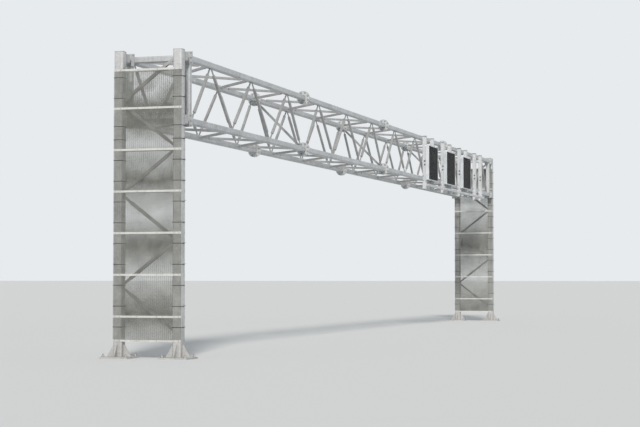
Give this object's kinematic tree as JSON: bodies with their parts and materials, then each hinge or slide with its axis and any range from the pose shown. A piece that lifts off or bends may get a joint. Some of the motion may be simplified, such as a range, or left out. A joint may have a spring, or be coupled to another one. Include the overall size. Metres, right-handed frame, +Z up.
{
  "type": "overhead sign gantry",
  "caption": "Road-spanning sign gantry: a square-tube box truss bolted between two braced, screened towers, with lane sign cabinets hung on its front face.",
  "frame": {"origin": "on the ground under the middle of the span, centred between the tower legs", "axes": "+X along the span, +Y along the road towards the back of the signs, +Z up; the sign faces look along -Y"},
  "size_m": [38.451, 2.248, 7.453],
  "materials": {
    "galvanised_chord": "hot-dip galvanised, matt spangle",
    "galvanised_bar": "hot-dip galvanised, duller on the light bars",
    "galvanised_plate": "hot-dip galvanised plate",
    "galvanised_tower": "hot-dip galvanised, weathered to matt",
    "seat_bolt": "galvanised bolt",
    "wire_screen": "galvanised welded wire",
    "screen_strip": "galvanised flat bar",
    "sign_support": "new galvanised section",
    "cabinet": "satin aluminium sheet",
    "sign_face": "dark louvred display face"
  },
  "bodies": {
    "root": {"segment_1_chords": "galvanised_chord", "segment_1_front_side": "galvanised_bar", "segment_1_back_side": "galvanised_bar", "segment_1_top_side": "galvanised_bar", "segment_1_bottom_side": "galvanised_bar", "segment_2_chords": "galvanised_chord", "segment_2_front_side": "galvanised_bar", "segment_2_back_side": "galvanised_bar", "segment_2_top_side": "galvanised_bar", "segment_2_bottom_side": "galvanised_bar", "segment_3_chords": "galvanised_chord", "segment_3_front_side": "galvanised_bar", "segment_3_back_side": "galvanised_bar", "segment_3_top_side": "galvanised_bar", "segment_3_bottom_side": "galvanised_bar", "segment_4_chords": "galvanised_chord", "segment_4_front_side": "galvanised_bar", "segment_4_back_side": "galvanised_bar", "segment_4_top_side": "galvanised_bar", "segment_4_bottom_side": "galvanised_bar", "splice_braces": "galvanised_bar", "left_end_frame": "galvanised_chord", "left_corner_plates": "galvanised_plate", "left_tower_seats": "galvanised_plate", "left_seat_bolts": "seat_bolt", "left_tower_front_leg": "galvanised_tower", "left_tower_back_leg": "galvanised_tower", "left_tower_bracing": "galvanised_bar", "left_tower_screens": "wire_screen", "left_screen_strips": "screen_strip", "right_end_frame": "galvanised_chord", "right_corner_plates": "galvanised_plate", "right_tower_seats": "galvanised_plate", "right_seat_bolts": "seat_bolt", "right_tower_front_leg": "galvanised_tower", "right_tower_back_leg": "galvanised_tower", "right_tower_bracing": "galvanised_bar", "right_tower_screens": "wire_screen", "right_screen_strips": "screen_strip", "sign_posts": "sign_support", "sign_rail": "sign_support", "sign_1_cabinet": "cabinet", "sign_2_cabinet": "cabinet", "sign_3_cabinet": "cabinet", "sign_faces": "sign_face"}
  },
  "joints": []
}
